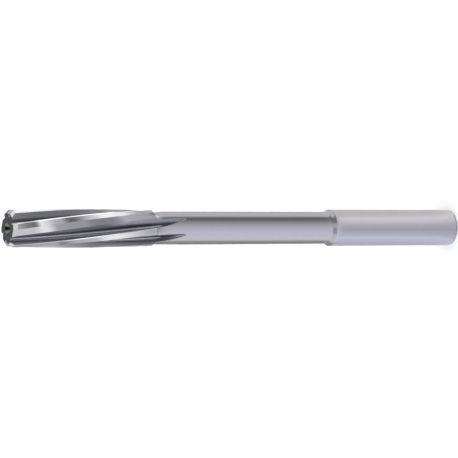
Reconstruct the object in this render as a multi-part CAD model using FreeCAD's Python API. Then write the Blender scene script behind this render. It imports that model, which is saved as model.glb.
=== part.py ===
import FreeCAD, Part
import math
import os

# Machine reamer, nominal 10 mm, parallel shank, one solid.
# Frame: millimetres. The reamer stands on its shank end at z = 0, with its axis on Z and its tip up.
# It cuts right-handed (it turns anticlockwise seen from above the tip); the flutes turn left-handed.

# Overall
LENGTH = 133.0            # shank end to tip face
OVERSHOOT = 1.0           # how far a cutter or a joint reaches past what it meets
SHANK_DIA = 10.0
SHANK_TOP = 38.95         # the cylinder of the shank ends here
SHANK_CHAMFER = 0.5       # at the free end
NECK_DIA = 8.76
STEP_HEIGHT = (SHANK_DIA - NECK_DIA) / 2
STEP_ANGLE = 27.0         # of the cone between the shank and the neck, to the axis
NECK_FILLET = 1.3 * STEP_HEIGHT       # hollow corner between the cone and the neck
SHOULDER_ROUND = 0.65 * STEP_HEIGHT   # rounded corner between the shank and the cone

# Cutting part
REAMER_DIA = 10.0
CUT_BOTTOM = 93.3         # full diameter ends here
REAR_ANGLE = 45.0         # back taper from the full diameter to the neck
LEAD_LENGTH = 0.9         # the lead at the tip, which does the cutting
LEAD_ANGLE = 45.0
TURN_LENGTH = 240.0       # along the axis, for one full turn of the flutes
PITCHES = (73.5, 57.0, 49.5)   # unequal spacing, used twice so that teeth face in pairs
FIRST_EDGE = -75.6        # where the first cutting edge stands at the tip face

# Section of a flute
ROOT_RADIUS = 3.05        # from the axis to the corner of a flute
ROOT_FILLET = 0.35
WALL_ANGLE = 72.0         # between the rake face and the back wall
CUTTER_REACH = 1.5        # how far a flute cutter stands outside the teeth
WHEEL_RADIUS = 31.0       # grinding wheel that leaves the run-outs
WHEEL_TILT = 54.6         # from the rake face to the direction in which the wheel lifts out
FLUTE_END = 93.9          # full depth ends here, and the run-out starts
SECTION_STEP = 2.0        # spacing of the sections that a flute is lofted through
RUN_OUT_SECTIONS = 10

# Section of a land
MARGIN_WIDTH = 0.26       # the narrow cylindrical strip behind each cutting edge
RELIEF_WIDTH = 1.40       # the first flat, from the margin on
RELIEF_ANGLE = 11.0
SECOND_RELIEF_ANGLE = 19.0
RELIEF_LEAD_IN = 1.0      # the first flat is ground from this far before the margin's end
MOUTH_ANGLE = 29.0        # the second flat ends this far before the next edge, inside the flute

# 60 degree centre holes
CENTRE_DIA = 3.35
PILOT_DIA = 1.6
PILOT_DEPTH = 4.2         # from the face to the start of the drill's cone
CENTRE_ANGLE = 60.0
DRILL_ANGLE = 120.0

Z_AXIS = FreeCAD.Vector(0, 0, 1)
ORIGIN = FreeCAD.Vector(0, 0, 0)


def at(radius, degrees, z=0.0):
    """A point from its distance to the axis, its angle and its height."""
    turn = math.radians(degrees)
    return FreeCAD.Vector(radius * math.cos(turn), radius * math.sin(turn), z)


def turned(points):
    """A solid of revolution from (radius, height) pairs."""
    outline = Part.makePolygon([FreeCAD.Vector(r, 0, z) for r, z in points + points[:1]])
    return Part.Face(outline).revolve(ORIGIN, Z_AXIS, 360)


def twist_at(z):
    """How far the flutes have turned at a height, in degrees from the tip face."""
    return (LENGTH - z) * 360.0 / TURN_LENGTH


def cutting_edges():
    """The angle of each cutting edge at the tip face, going clockwise."""
    angles = []
    angle = FIRST_EDGE
    for pitch in PITCHES * 2:
        angles.append(angle)
        angle -= pitch
    return angles


def shank_and_neck():
    shank = SHANK_DIA / 2
    neck = NECK_DIA / 2
    step_top = SHANK_TOP + STEP_HEIGHT / math.tan(math.radians(STEP_ANGLE))
    body = turned([
        (0, 0),
        (shank - SHANK_CHAMFER, 0),
        (shank, SHANK_CHAMFER),
        (shank, SHANK_TOP),
        (neck, step_top),
        (neck, CUT_BOTTOM + OVERSHOOT),
        (0, CUT_BOTTOM + OVERSHOOT),
    ])
    body = rounded(body, SHANK_TOP, SHOULDER_ROUND)
    return rounded(body, step_top, NECK_FILLET)


def rounded(body, z, radius):
    """Rounds the circular edges that lie at a height."""
    rings = [edge for edge in body.Edges
             if abs(edge.BoundBox.ZMin - z) < 1e-6 and abs(edge.BoundBox.ZMax - z) < 1e-6]
    return body.makeFillet(radius, rings)


def cutting_envelope():
    """The turned blank of the cutting part, before its teeth are ground."""
    radius = REAMER_DIA / 2
    neck = NECK_DIA / 2
    rear = (radius - neck) / math.tan(math.radians(REAR_ANGLE))
    return turned([
        (0, CUT_BOTTOM - rear),
        (neck, CUT_BOTTOM - rear),
        (radius, CUT_BOTTOM),
        (radius, LENGTH),
        (0, LENGTH),
    ])


def flat_from(point, relief_angle):
    """Direction of a flat that starts at a point and drops clockwise, and its outward normal."""
    outward = FreeCAD.Vector(point.x, point.y, 0).normalize()
    clockwise = FreeCAD.Vector(outward.y, -outward.x, 0)
    drop = math.radians(relief_angle)
    along = clockwise * math.cos(drop) - outward * math.sin(drop)
    normal = outward * math.cos(drop) + clockwise * math.sin(drop)
    return along, normal


def crossing(p, u, q, v):
    """Where two lines of the plane meet, each given by a point and a direction."""
    t = ((q.x - p.x) * v.y - (q.y - p.y) * v.x) / (u.x * v.y - u.y * v.x)
    return p + u * t


def land_corners(edge, pitch, inset):
    """The three corners of one land's outline, with its flats moved inwards by the inset."""
    radius = REAMER_DIA / 2
    margin_end = at(radius, edge - math.degrees(MARGIN_WIDTH / radius))
    first, first_normal = flat_from(margin_end, RELIEF_ANGLE)
    relief_end = margin_end + first * RELIEF_WIDTH
    second, second_normal = flat_from(relief_end, SECOND_RELIEF_ANGLE)
    mouth = crossing(relief_end, second, ORIGIN, at(1, edge - pitch + MOUTH_ANGLE))
    start = margin_end - first * RELIEF_LEAD_IN - first_normal * inset
    finish = mouth - second_normal * inset
    middle = crossing(start, first, finish, second)
    return [start, middle, finish]


def land_outline(z, inset=0.0):
    """The outline of all lands at a height, closed across the flutes."""
    corners = []
    for edge, pitch in zip(cutting_edges(), PITCHES * 2):
        corners += land_corners(edge + twist_at(z), pitch, inset)
    corners = [FreeCAD.Vector(p.x, p.y, z) for p in corners]
    return Part.makePolygon(corners + corners[:1])


def heights(low, high, step):
    count = max(2, int(math.ceil((high - low) / step)) + 1)
    return [low + (high - low) * i / (count - 1) for i in range(count)]


def lands():
    """The relieved lands as one twisted bar, with the 45 degree lead ground on its top."""
    low = CUT_BOTTOM - REAMER_DIA / 4
    bar = Part.makeLoft([land_outline(z) for z in heights(low, LENGTH + OVERSHOOT, SECTION_STEP)], True, False)
    return bar.common(cutting_envelope()).cut(lead_cutter())


def lead_cutter():
    """A ring that leaves the lead, of one width along all the flats of a land."""
    slope = math.tan(math.radians(LEAD_ANGLE))
    base = LENGTH - 2 * LEAD_LENGTH
    top = LENGTH + LEAD_LENGTH
    ring = Part.makeCylinder(REAMER_DIA, top - base, FreeCAD.Vector(0, 0, base))
    return ring.cut(Part.makeLoft([
        land_outline(z, (z - LENGTH + LEAD_LENGTH) * slope) for z in (base, top)
    ], True, True))


def flute_outline(edge, z, lift):
    """The closed outline of a flute cutter at a height; its corner moves out by the lift."""
    outer = REAMER_DIA / 2 + CUTTER_REACH
    turn = math.radians(WHEEL_TILT)
    corner = FreeCAD.Vector(ROOT_RADIUS + lift * math.cos(turn), lift * math.sin(turn), 0)
    rake = FreeCAD.Vector(1, 0, 0)
    wall = FreeCAD.Vector(math.cos(math.radians(WALL_ANGLE)), math.sin(math.radians(WALL_ANGLE)), 0)
    half = math.radians(WALL_ANGLE / 2)
    tangent = ROOT_FILLET / math.tan(half)
    bisector = (rake + wall).normalize()
    centre = corner + bisector * (ROOT_FILLET / math.sin(half))
    length = outer - ROOT_RADIUS
    points = [
        corner + rake * length,
        corner + rake * tangent,
        centre - bisector * ROOT_FILLET,
        corner + wall * tangent,
        corner + wall * (length * 1.4),
    ]
    spin = FreeCAD.Rotation(Z_AXIS, edge + twist_at(z))
    points = [spin.multVec(p) + FreeCAD.Vector(0, 0, z) for p in points]
    return Part.Wire([
        Part.makeLine(points[0], points[1]),
        Part.Arc(points[1], points[2], points[3]).toShape(),
        Part.makeLine(points[3], points[4]),
        Part.makeLine(points[4], points[0]),
    ])


def flute_cutter(edge):
    """A twisted V bar that lifts out of the neck along the arc of the grinding wheel."""
    reach = math.sqrt(WHEEL_RADIUS ** 2 - (WHEEL_RADIUS - REAMER_DIA / 2) ** 2)
    sections = []
    for i in range(RUN_OUT_SECTIONS):
        drop = reach * (1 - i / RUN_OUT_SECTIONS)
        lift = WHEEL_RADIUS - math.sqrt(WHEEL_RADIUS ** 2 - drop ** 2)
        sections.append(flute_outline(edge, FLUTE_END - drop, lift))
    for z in heights(FLUTE_END, LENGTH + OVERSHOOT, SECTION_STEP):
        sections.append(flute_outline(edge, z, 0.0))
    return Part.makeLoft(sections, True, False)


def centre_hole():
    """A 60 degree centre with its pilot, opening downwards at z = 0."""
    radius = CENTRE_DIA / 2
    pilot = PILOT_DIA / 2
    cone = (radius - pilot) / math.tan(math.radians(CENTRE_ANGLE / 2))
    tip = pilot / math.tan(math.radians(DRILL_ANGLE / 2))
    return turned([
        (0, -OVERSHOOT),
        (radius, -OVERSHOOT),
        (radius, 0),
        (pilot, cone),
        (pilot, PILOT_DEPTH),
        (0, PILOT_DEPTH + tip),
    ])


def reamer():
    body = shank_and_neck().fuse(lands())
    for edge in cutting_edges():
        body = body.cut(flute_cutter(edge))
    body = body.cut(centre_hole())
    tip_hole = centre_hole()
    tip_hole.rotate(ORIGIN, FreeCAD.Vector(1, 0, 0), 180)
    tip_hole.translate(FreeCAD.Vector(0, 0, LENGTH))
    return body.cut(tip_hole).removeSplitter()


def main():
    os.makedirs("parts", exist_ok=True)
    shape = reamer()
    shape.exportStep("parts/reamer.step")
    print("solids", len(shape.Solids), "valid", shape.isValid(), "faces", len(shape.Faces))
    print("volume", round(shape.Volume, 2), "box", shape.BoundBox)


main()
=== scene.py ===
# %% [markdown]
# # A machine reamer on a light table
# A machine reamer opens a drilled hole to its exact size. This one has a parallel shank for a collet,
# a slim neck, and a short cutting part with helical flutes. The solid comes from CAD and is loaded here
# as it is. Everything that gives it its look, the camera, the light and the steel, is made below.

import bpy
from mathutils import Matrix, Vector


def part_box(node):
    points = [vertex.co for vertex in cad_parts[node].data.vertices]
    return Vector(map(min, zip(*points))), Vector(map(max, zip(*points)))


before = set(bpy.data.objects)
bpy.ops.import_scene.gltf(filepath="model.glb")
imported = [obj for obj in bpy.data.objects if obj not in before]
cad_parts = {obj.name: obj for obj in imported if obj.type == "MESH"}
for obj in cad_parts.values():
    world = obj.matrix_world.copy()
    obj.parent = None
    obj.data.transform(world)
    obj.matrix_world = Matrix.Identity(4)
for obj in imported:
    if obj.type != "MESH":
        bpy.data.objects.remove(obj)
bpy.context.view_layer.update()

import math

import bmesh
import bpy
from mathutils import Quaternion, Vector

MM = 0.001
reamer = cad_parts["reamer"]
lowest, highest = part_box("reamer")
LENGTH = highest.z - lowest.z
RADIUS = (highest.x - lowest.x) / 2
print(f"reamer: {LENGTH / MM:.1f} mm long, {RADIUS / MM * 2:.1f} mm thick")

# %% [markdown]
# ## The camera
# The tool stands on its shank, but it is shown the way a catalogue shows it: lying across the picture with
# its tip on the left. So the camera looks down on the standing tool from its tip's side and is rolled by
# a quarter turn. A long lens at some 60 cm keeps the far end nearly as thick as the near one.

# %% Camera
EYE_DISTANCE = 4.403 * LENGTH
EYE_ELEVATION = math.radians(27.69)
EYE_ROLL = math.radians(-90.14)
AIM = Vector((-0.27 * MM, 0, 0.5233 * LENGTH))
LENS_MM = 172.6
SENSOR_WIDTH_MM = 36

eye = bpy.data.cameras.new("catalogue camera")
eye.lens = LENS_MM
eye.sensor_width = SENSOR_WIDTH_MM
eye.clip_start = 0.01
camera = bpy.data.objects.new("catalogue camera", eye)
bpy.context.scene.collection.objects.link(camera)
looking = Vector((0, math.cos(EYE_ELEVATION), -math.sin(EYE_ELEVATION)))
camera.location = Vector((0, AIM.y, AIM.z)) - looking * EYE_DISTANCE
camera.rotation_mode = "QUATERNION"
camera.rotation_quaternion = ((AIM - camera.location).to_track_quat("-Z", "Y")
                              @ Quaternion((0, 0, 1), EYE_ROLL))
bpy.context.scene.camera = camera
print(f"camera {EYE_DISTANCE:.3f} m from the tool, looking down {math.degrees(EYE_ELEVATION):.1f} degrees")

# %% [markdown]
# ## A helper for colours and one for nodes
# Colours are easier to read as the hex values of a screen, but a shader wants them linear. Node trees are
# easier to read when a node, its settings and its links are made in one line.

# %% Helpers
def linear(hex_colour):
    """A screen colour such as '#C8C6CC' as linear red, green, blue and alpha."""
    values = [int(hex_colour[i:i + 2], 16) / 255 for i in (1, 3, 5)]
    return [v / 12.92 if v <= 0.04045 else ((v + 0.055) / 1.055) ** 2.4 for v in values] + [1.0]


def add(tree, kind, inputs=None, **settings):
    """Adds a node with its settings; an input is given a value or the socket it is linked from."""
    node = tree.nodes.new(kind)
    for name, value in settings.items():
        setattr(node, name, value)
    for name, value in (inputs or {}).items():
        if isinstance(value, bpy.types.NodeSocket):
            tree.links.new(value, node.inputs[name])
        else:
            node.inputs[name].default_value = value
    return node


def new_material(name):
    material = bpy.data.materials.new(name)
    material.use_nodes = True
    material.node_tree.nodes.clear()
    return material, material.node_tree


def new_stage_piece(name, mesh_maker, material):
    """A piece of the studio: it is seen in the steel, but it isn't part of the object."""
    mesh = bpy.data.meshes.new(name)
    shape = bmesh.new()
    mesh_maker(shape)
    shape.to_mesh(mesh)
    shape.free()
    piece = bpy.data.objects.new(name, mesh)
    mesh.materials.append(material)
    bpy.context.scene.collection.objects.link(piece)
    return piece

# %% [markdown]
# ## The floor
# A light table is a white floor that also glows a little. The glow reaches the camera and shiny things,
# so the floor reads as white, and the rest of its light comes from the lamps, so the tool's shadow stays.

# %% Floor
FLOOR_SIDE = 3.0
FLOOR_DROP = 0.02 * MM
FLOOR_GLOW = 0.13
MOTTLE_SCALE = 40.0

paper, tree = new_material("white table laminate")
coordinates = add(tree, "ShaderNodeTexCoord")
mottle = add(tree, "ShaderNodeTexNoise", {"Vector": coordinates.outputs["Object"], "Scale": MOTTLE_SCALE})
tone = add(tree, "ShaderNodeMix", {0: mottle.outputs[0], 6: linear("#F0F0F0"), 7: linear("#F6F6F6")},
           data_type="RGBA")
rays = add(tree, "ShaderNodeLightPath")
either = add(tree, "ShaderNodeMath", {0: rays.outputs["Is Camera Ray"], 1: rays.outputs["Is Glossy Ray"]},
             operation="MAXIMUM")
seen = add(tree, "ShaderNodeMath", {0: either.outputs[0], 1: rays.outputs["Is Transmission Ray"]},
           operation="MAXIMUM")
strength = add(tree, "ShaderNodeMath", {0: seen.outputs[0], 1: FLOOR_GLOW}, operation="MULTIPLY")
matt = add(tree, "ShaderNodeBsdfDiffuse", {"Color": tone.outputs[2]})
glow = add(tree, "ShaderNodeEmission", {"Strength": strength.outputs[0]})
both = add(tree, "ShaderNodeAddShader", {0: matt.outputs[0], 1: glow.outputs[0]})
add(tree, "ShaderNodeOutputMaterial", {"Surface": both.outputs[0]})


def floor_mesh(shape):
    bmesh.ops.create_grid(shape, x_segments=1, y_segments=1, size=FLOOR_SIDE / 2)
    bmesh.ops.translate(shape, verts=shape.verts, vec=(0, 0, -FLOOR_DROP))


new_stage_piece("floor", floor_mesh, paper)

# %% [markdown]
# ## The lamp and the world
# One large soft lamp hangs above the table. The world is dim at the sides, so that the tip's flat face,
# which looks away over the table, stays darker than the sides.

# %% World and lamp
HORIZON_LIGHT = 0.15
ZENITH_LIGHT = 1.1
DIM_BELOW = 0.45
BRIGHT_ABOVE = 0.95
MIDDLE = (0, 0, LENGTH / 2)
SOFTBOX_PLACE = (0, -0.05, 0.75)
SOFTBOX_SIDE = 0.7
SOFTBOX_WATTS = 4.2

world = bpy.data.worlds.new("studio")
world.use_nodes = True
tree = world.node_tree
tree.nodes.clear()
direction = add(tree, "ShaderNodeTexCoord")
axes = add(tree, "ShaderNodeSeparateXYZ", {"Vector": direction.outputs["Generated"]})
sky = add(tree, "ShaderNodeMapRange",
          {"Value": axes.outputs["Z"], "From Min": DIM_BELOW, "From Max": BRIGHT_ABOVE,
           "To Min": HORIZON_LIGHT, "To Max": ZENITH_LIGHT})
background = add(tree, "ShaderNodeBackground", {"Color": linear("#F6F6F8"), "Strength": sky.outputs[0]})
add(tree, "ShaderNodeOutputWorld", {"Surface": background.outputs[0]})
bpy.context.scene.world = world

softbox = bpy.data.lights.new("overhead softbox", "AREA")
softbox.shape = "RECTANGLE"
softbox.size = SOFTBOX_SIDE
softbox.size_y = SOFTBOX_SIDE
softbox.energy = SOFTBOX_WATTS
lamp = bpy.data.objects.new("overhead softbox", softbox)
lamp.location = SOFTBOX_PLACE
lamp.rotation_mode = "QUATERNION"
lamp.rotation_quaternion = (Vector(MIDDLE) - Vector(SOFTBOX_PLACE)).to_track_quat("-Z", "Y")
lamp.visible_glossy = False
bpy.context.scene.collection.objects.link(lamp)
print(f"softbox {SOFTBOX_SIDE} m wide, {SOFTBOX_WATTS} W")

# %% [markdown]
# ## Curved cards
# Polished steel has hardly any colour of its own: it shows what stands round it. Seen from above, the
# sides of an upright bar mirror what is low down beside it. So a flat mat lies round the foot for the
# shank, and curved cards stand round the tool: one for the neck and three, at rising heights, for the
# teeth. The cone between shank and neck looks up, so its card is a flat ring above it, painted below only.
# The greys change round the tool, and that makes the bands by which a round bar looks round. They were
# set for the catalogue camera: from other sides the borders between the cards can be seen in the steel.
# Only mirror-like reflections see the cards.

# %% Curved cards
ARC_STEPS = 96
MAT_HEIGHT = 0.05 * MM
MAT_INNER = RADIUS + 0.1 * MM
MAT_OUTER = 70 * MM
STEP_CARD_HEIGHT = 46 * MM
STEP_CARD_INNER = 8 * MM
STEP_CARD_OUTER = 66 * MM
NECK_CARD_RADIUS = 70.5 * MM
NECK_CARD_FOOT = 0.1 * MM
NECK_CARD_TOP = 59.4 * MM
TEETH_CARD_RADIUS = 78 * MM
TEETH_CARD_LIGHT = 1.5


def painted_card(name, strength, tones, one_sided=False):
    """Card painted round the tool from {azimuth in degrees: colour}, for mirror-like reflections."""
    paint, tree = new_material(name)
    place = add(tree, "ShaderNodeTexCoord")
    axes = add(tree, "ShaderNodeSeparateXYZ", {"Vector": place.outputs["Object"]})
    azimuth = add(tree, "ShaderNodeMath", {0: axes.outputs["Y"], 1: axes.outputs["X"]}, operation="ARCTAN2")
    share = add(tree, "ShaderNodeMapRange",
                {"Value": azimuth.outputs[0], "From Min": -math.pi, "From Max": math.pi})
    ramp = add(tree, "ShaderNodeValToRGB", {"Fac": share.outputs[0]})
    stops = ramp.color_ramp.elements
    for degrees, tone in sorted(tones.items()):
        stops.new((degrees + 180) / 360).color = linear(tone)
    stops.remove(stops[0])
    stops.remove(stops[len(stops) - 1])
    card = add(tree, "ShaderNodeEmission", {"Color": ramp.outputs["Color"], "Strength": strength})
    clear = add(tree, "ShaderNodeBsdfTransparent")
    rays = add(tree, "ShaderNodeLightPath")
    seen = rays.outputs["Is Glossy Ray"]
    if one_sided:
        back = add(tree, "ShaderNodeNewGeometry").outputs["Backfacing"]
        seen = add(tree, "ShaderNodeMath", {0: seen, 1: back}, operation="GREATER_THAN").outputs[0]
    shown = add(tree, "ShaderNodeMixShader", {0: seen, 1: clear.outputs[0], 2: card.outputs[0]})
    add(tree, "ShaderNodeOutputMaterial", {"Surface": shown.outputs[0]})
    return paint


def ring_of_card(name, start, end, strength, tones, one_sided=False):
    """A card swept once round the tool; start and end are (radius, height) of its edge line."""
    def mesh(shape):
        ends = [shape.verts.new((radius, 0, height)) for radius, height in (start, end)]
        edge = shape.edges.new(ends)
        bmesh.ops.spin(shape, geom=ends + [edge], axis=(0, 0, 1), cent=(0, 0, 0),
                       angle=2 * math.pi, steps=ARC_STEPS, use_merge=True)
    return new_stage_piece(name, mesh, painted_card(f"{name} paint", strength, tones, one_sided))


def curved_card(name, radius, low, high, strength, tones):
    return ring_of_card(name, (radius, low), (radius, high), strength, tones)


ring_of_card("shank mat", (MAT_INNER, MAT_HEIGHT), (MAT_OUTER, MAT_HEIGHT), 1.0, {
    -179: "#E1E6F3", -154: "#ECF3FE", -126: "#D5D9E6", -99: "#C7C6D1", -74: "#D9D7E1", -54: "#F3F1F9",
    -36: "#FFFEFF", -18: "#F1F1F2", 0: "#E8E4E7", 45: "#E5DADE", 100: "#D8D4DA", 137: "#CFCFD9",
    151: "#D4D5E3", 179: "#E1E6F3"})
ring_of_card("step card", (STEP_CARD_OUTER, STEP_CARD_HEIGHT), (STEP_CARD_INNER, STEP_CARD_HEIGHT), 1.0, {
    -179: "#E1E1E6", -134: "#E1E1E6", -124: "#C4C4C8", -117: "#B0B4B0", -97: "#A8ACA8", -88: "#C0C0C2",
    -80: "#CBCBCE", -68: "#C6C6C8", -60: "#949496", -36: "#868688", -24: "#B4B4B6", -14: "#DADADC",
    60: "#D9D9DC", 179: "#E1E1E6"}, one_sided=True)
curved_card("neck card", NECK_CARD_RADIUS, NECK_CARD_FOOT, NECK_CARD_TOP, 1.0, {
    -179: "#EDECF0", -150: "#EEEBFA", -118: "#E6E5F7", -90: "#D7D8DE", -62: "#B4B6B6", -40: "#8A8B8A",
    -22: "#727272", -14: "#868688", -7: "#BCBBBF", 0: "#D1D0D4", 14: "#E0DEE5", 62: "#C8C8C8",
    110: "#B0B0B0", 138: "#9E9F99", 153: "#A3A49F", 165: "#C3C3C3", 175: "#DEDEE0", 179: "#EDECF0"})
curved_card("lower teeth card", TEETH_CARD_RADIUS, 50 * MM, 70 * MM, TEETH_CARD_LIGHT, {
    -179: "#6A6A70", -168: "#66666C", -158: "#9C9CA0", -150: "#EEEEEE", -141: "#E0E0E0", -132: "#C8C8CA",
    -125: "#B6B6BA", -117: "#A6A6AA", -108: "#9A9A9E", -100: "#98989C", -90: "#A0A0A4", -70: "#98989C",
    -57: "#7E7E88", -51: "#8E8E96", -45: "#B0B0B4", -38: "#A8A8AC", -20: "#A0A0A4", -8: "#EEEEEE",
    2: "#EAEAEA", 8: "#C8C8CA", 15: "#A4A4A8", 28: "#A8A8AC", 38: "#F0F0F0", 58: "#F0F0F0", 100: "#B0B0B4",
    145: "#909096", 165: "#6E6E74", 179: "#6A6A70"})
curved_card("middle teeth card", TEETH_CARD_RADIUS, 70 * MM, 87 * MM, TEETH_CARD_LIGHT, {
    -179: "#ACACB0", -165: "#BABABE", -157: "#E8E8EA", -148: "#EEEEEE", -128: "#C8C8CC", -100: "#A0A0A4",
    -87: "#98989C", -79: "#98989C", -70: "#808086", -60: "#80808A", -53: "#92929A", -48: "#7A7A7E",
    -45: "#606062", -41: "#626262", -36: "#88888A", -29: "#BABABE", -23: "#D2D2D4", -16: "#F4F4F4",
    22: "#F0F0F0", 84: "#A8A8AC", 104: "#606066", 160: "#606066", 170: "#8A8A90", 179: "#ACACB0"})
curved_card("upper teeth card", TEETH_CARD_RADIUS, 87 * MM, 122 * MM, TEETH_CARD_LIGHT, {
    -179: "#ACACB0", -134: "#C4C4C8", -119: "#C4C4CA", -113: "#E6E6EA", -108: "#E0E0E4", -104: "#C4C4C8",
    -99: "#A2A2A6", -92: "#9EA0A4", -85: "#A2A2A4", -79: "#7E7E7E", -73: "#6A6A66", -71: "#787878",
    -68: "#EAEAEC", -63: "#D8D8DC", -56: "#ACACB0", -50: "#B8B8BC", -44: "#F4F4F4", 20: "#F4F4F4",
    60: "#E0E0E4", 90: "#808086", 110: "#606066", 130: "#909096", 145: "#A0A0A4", 179: "#ACACB0"})
print(f"cards: out to {TEETH_CARD_RADIUS / MM:.0f} mm from the axis")

# %% [markdown]
# What leans back and looks up, such as the leads at the tip and the walls of the centre hole, mirrors what
# stands higher than the tool. A hood of card there is light on both sides and dark in front and behind, and
# that gives a turned cone its light and dark sectors.

# %% Hood
HOOD_RADIUS = 100 * MM
HOOD_FOOT = 155 * MM
HOOD_TOP = 262 * MM
HOOD_LIGHT = 1.3

curved_card("hood", HOOD_RADIUS, HOOD_FOOT, HOOD_TOP, HOOD_LIGHT, {
    -179: "#E8E8E8", -150: "#E4E4E2", -128: "#6A6A68", -112: "#222224", -68: "#222224", -52: "#6A6A68",
    -30: "#E4E4E2", 40: "#E8E8E8", 62: "#808284", 112: "#808284", 126: "#E0E0E0", 179: "#E8E8E8"})

# %% [markdown]
# ## The steel
# The tool is one piece of high-speed steel, hardened and then ground all over: round the axis on the
# shank and neck, and along the flutes on the cutting part. One material carries all of it, and picks the
# finish by where on the tool a point lies. Heights and radii are read in millimetres. The foot of a
# flute's wall is painted darker. That is an assumption: it stands in for the shade of a hollow wall, where
# the solid's wall is flat.

# %% Where on the tool a point lies
TEETH_FOOT = 92.7          # the cutting part lies above this height
RUN_OUT_FOOT = 82.0        # the flutes run out on the neck above this height
NECK_RADIUS = 4.38
NECK_SKIN = 0.04           # how deep below the neck's radius a flat facet may lie
LAND_RADIUS = 4.6          # lands and reliefs lie outside it
MARGIN_RADIUS = 4.985
ROOT_RADIUS = 3.3
FOOT_RADIUS = 3.75         # the foot of a flute's wall lies inside it
CENTRE_RADIUS = 1.69
TIP = LENGTH / MM
SKIN_TURN = 0.87           # skin faces outwards at least this much, as a cosine
RAKE_TURN = 0.4            # a rake face looks outwards less than this
STEEP_TURN = 0.45          # walls look up less than this
FLAT_TURN = 0.9            # the tip face looks up more than this

steel, tree = new_material("ground high-speed steel")


def step_up(value, at, soft):
    """0 below a level and 1 above it, with a soft edge."""
    return add(tree, "ShaderNodeMapRange", {"Value": value, "From Min": at - soft, "From Max": at + soft},
               interpolation_type="SMOOTHSTEP").outputs[0]


def maths(operation, *values):
    return add(tree, "ShaderNodeMath", dict(enumerate(values)), operation=operation).outputs[0]


def vector_maths(operation, output, *values):
    return add(tree, "ShaderNodeVectorMath", dict(enumerate(values)), operation=operation).outputs[output]


coordinates = add(tree, "ShaderNodeTexCoord")
in_mm = add(tree, "ShaderNodeVectorMath", {0: coordinates.outputs["Object"], "Scale": 1 / MM},
            operation="SCALE")
axes = add(tree, "ShaderNodeSeparateXYZ", {"Vector": in_mm.outputs[0]})
height = axes.outputs["Z"]
spoke = add(tree, "ShaderNodeCombineXYZ", {"X": axes.outputs["X"], "Y": axes.outputs["Y"]}).outputs[0]
distance = vector_maths("LENGTH", "Value", spoke)
outward = vector_maths("NORMALIZE", "Vector", spoke)
facing = add(tree, "ShaderNodeNewGeometry").outputs["Normal"]
facing_out = vector_maths("DOT_PRODUCT", "Value", facing, outward)
facing_up = add(tree, "ShaderNodeSeparateXYZ", {"Vector": facing}).outputs["Z"]

on_teeth = step_up(height, TEETH_FOOT, 0.05)
skin_radius = add(tree, "ShaderNodeMapRange", {"Value": on_teeth, "To Min": NECK_RADIUS - NECK_SKIN,
                                               "To Max": LAND_RADIUS}).outputs[0]
outside = maths("GREATER_THAN", distance, skin_radius)
on_skin = maths("MULTIPLY", outside, step_up(facing_out, SKIN_TURN, 0.03))
steep = maths("LESS_THAN", maths("ABSOLUTE", facing_up), STEEP_TURN)
in_flute = maths("MULTIPLY", maths("MULTIPLY", step_up(height, RUN_OUT_FOOT, 0.5), steep),
                 maths("SUBTRACT", 1.0, on_skin))
on_rake = maths("MULTIPLY", in_flute, maths("LESS_THAN", facing_out, RAKE_TURN))
root_highlight = maths("MULTIPLY", in_flute, maths("LESS_THAN", distance, ROOT_RADIUS))
wall_foot = maths("MULTIPLY", maths("SUBTRACT", in_flute, on_rake),
                  maths("SUBTRACT", 1.0, step_up(distance, FOOT_RADIUS, 0.25)))
margin_highlight = maths("MULTIPLY", on_teeth, maths("GREATER_THAN", distance, MARGIN_RADIUS))
flat_up = step_up(maths("ABSOLUTE", facing_up), FLAT_TURN, 0.05)
tip_face_painted_shade = maths("MULTIPLY", step_up(height, TIP - 0.3, 0.1), flat_up)
centre_hole_painted_shade = maths("LESS_THAN", distance, CENTRE_RADIUS)

# %% [markdown]
# ### Grinding marks
# A wheel leaves fine parallel scratches. On the shank and the neck they run round the axis, so their noise
# changes fast along the axis and slowly round it. On the cutting part they run along the flutes, so the
# noise is laid on a tool that is untwisted first, by turning each height back by its share of a turn. The
# faced tip and the centre holes carry the rings of a lathe tool.

# %% Grinding marks
TURN_LENGTH = 240.0
RING_PITCH = 0.12
STREAK_PITCH = 0.09
FACING_PITCH = 0.08
HAZE_SIZE = 6.25
STAIN_SIZE = 1 / 0.9
RING_STRETCH = 0.35        # how much a ring changes on its way round
STREAK_STRETCH = 0.03      # how much a streak changes along the flute
WALL_SPREAD = 1.7          # spreads the streaks over the depth of a flute


def marks(across, along, scale, detail):
    """Scratches, from 0 to 1: they are fine in one direction and long in the other."""
    place = add(tree, "ShaderNodeCombineXYZ", {"X": across, "Y": along})
    noise = add(tree, "ShaderNodeTexNoise",
                {"Vector": place.outputs[0], "Scale": scale, "Detail": detail, "Roughness": 0.6},
                noise_dimensions="2D")
    return noise.outputs[0]


azimuth = maths("ARCTAN2", axes.outputs["Y"], axes.outputs["X"])
round_way = maths("MULTIPLY", maths("SINE", azimuth), RING_STRETCH)
untwisted = maths("ADD", azimuth, maths("MULTIPLY", height, -2 * math.pi / TURN_LENGTH))
flute_way = maths("ADD", maths("MULTIPLY", maths("SINE", untwisted), RADIUS / MM),
                  maths("MULTIPLY", distance, WALL_SPREAD))
rings = marks(height, round_way, 1 / RING_PITCH, 4.0)
streaks = marks(flute_way, maths("MULTIPLY", height, STREAK_STRETCH), 1 / STREAK_PITCH, 4.0)
facing_rings = marks(distance, round_way, 1 / FACING_PITCH, 3.0)
haze = add(tree, "ShaderNodeTexNoise", {"Vector": in_mm.outputs[0], "Scale": 1 / HAZE_SIZE,
                                        "Detail": 3.0}).outputs[0]
stain = add(tree, "ShaderNodeTexNoise", {"Vector": in_mm.outputs[0], "Scale": 1 / STAIN_SIZE, "Detail": 5.0,
                                         "Roughness": 0.7}).outputs[0]
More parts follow.
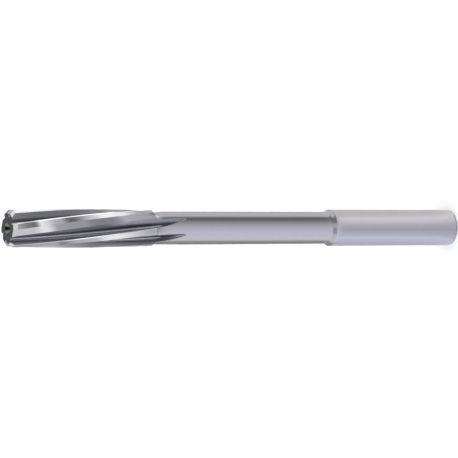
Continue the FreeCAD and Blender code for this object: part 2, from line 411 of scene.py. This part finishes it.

# %% [markdown]
# ### Colours of the finishes, painted highlights and painted shade
# Bare steel is a pale warm grey with a touch of violet. The flutes are ground fast with a coarse wheel, and
# are painted darker. Their rake faces are taken to be ground finer, as they meet the cutting edges, and so
# paler. The root of each flute is painted paler, as a painted highlight on its rounded bottom. The tip face
# is cut off and faced; its dark colour is painted shade, as the face looks away over the table, and the
# centre holes are painted darker still, as painted shade in their hollows. The margins are honed, and their
# near-white colour is a painted highlight. The marks and a faint cloudiness move each colour a little, and
# edges that have been handled shine through paler.

# %% Colours
def blend(share, low, high):
    """A colour between two others."""
    return add(tree, "ShaderNodeMix", {0: share, 6: low, 7: high}, data_type="RGBA").outputs[2]


def level(share, low, high):
    """A number between two others."""
    return add(tree, "ShaderNodeMix", {0: share, 2: low, 3: high}, data_type="FLOAT").outputs[0]


def shades(share, low, high):
    """A colour that the marks move between two close hex tones."""
    return blend(share, linear(low), linear(high))


EDGE_SIZE = 0.05 * MM
EDGE_WEAR = 0.5
softened = add(tree, "ShaderNodeBevel", {"Radius": EDGE_SIZE}, samples=4).outputs[0]
bend = maths("SUBTRACT", 1.0, vector_maths("DOT_PRODUCT", "Value", softened, facing))
worn_edge = maths("MULTIPLY", step_up(bend, 0.06, 0.04), step_up(stain, 0.45, 0.15))

colour = shades(level(haze, rings, stain), "#C5C3C8", "#D1CFD4")
colour = blend(on_teeth, colour, shades(streaks, "#CDCCCF", "#D9D8DA"))
colour = blend(in_flute, colour, shades(streaks, "#96989E", "#A4A6AB"))
colour = blend(wall_foot, colour, shades(streaks, "#4E5056", "#5C5E64"))
colour = blend(on_rake, colour, shades(streaks, "#BEC0C8", "#CCCED5"))
# The root of a flute is painted paler: a painted highlight, standing in for the light on its rounded
# bottom.
colour = blend(root_highlight, colour, shades(streaks, "#C2C3C8", "#CECFD3"))
# The margins are painted near white: a painted highlight over their honed finish.
colour = blend(margin_highlight, colour, shades(streaks, "#EEEDEC", "#F8F7F6"))
# The tip face is painted dark: painted shade, as the face looks away over the table.
colour = blend(tip_face_painted_shade, colour, shades(facing_rings, "#75797B", "#858889"))
# The centre holes are painted darker still: painted shade in their hollows.
colour = blend(centre_hole_painted_shade, colour, shades(facing_rings, "#6E706C", "#80827E"))
colour = blend(maths("MULTIPLY", worn_edge, EDGE_WEAR), colour, linear("#E6E5E6"))

# %% [markdown]
# ### Roughness and relief
# Where the scratches lie dense the steel is a little more matt. The relief is far below a hundredth of a
# millimetre: enough to break up a reflection when one looks closely, and nothing from further off.

# %% Roughness and relief
GROOVE_DEPTH = 0.0012 * MM
GROOVE_STRENGTH = 0.35

roughness = level(rings, 0.06, 0.09)
roughness = maths("ADD", roughness, level(haze, 0.0, 0.02))
roughness = level(on_teeth, roughness, level(streaks, 0.06, 0.09))
roughness = level(in_flute, roughness, level(streaks, 0.2, 0.3))
roughness = level(tip_face_painted_shade, roughness, level(facing_rings, 0.28, 0.36))
roughness = level(centre_hole_painted_shade, roughness, level(facing_rings, 0.12, 0.2))
roughness = level(worn_edge, roughness, 0.1)

grooves = level(on_teeth, rings, streaks)
grooves = level(maths("MAXIMUM", tip_face_painted_shade, centre_hole_painted_shade), grooves, facing_rings)
relief = add(tree, "ShaderNodeBump", {"Height": grooves, "Strength": GROOVE_STRENGTH,
                                      "Distance": GROOVE_DEPTH})
surface = add(tree, "ShaderNodeBsdfPrincipled",
              {"Base Color": colour, "Metallic": 1.0, "Roughness": roughness, "Normal": relief.outputs[0]})
add(tree, "ShaderNodeOutputMaterial", {"Surface": surface.outputs[0]})
for slot in reamer.material_slots:
    slot.material = steel
print(f"steel: {len(tree.nodes)} nodes on {len(reamer.material_slots)} slot")

# %% Finish
bpy.context.scene.view_settings.view_transform = "Standard"
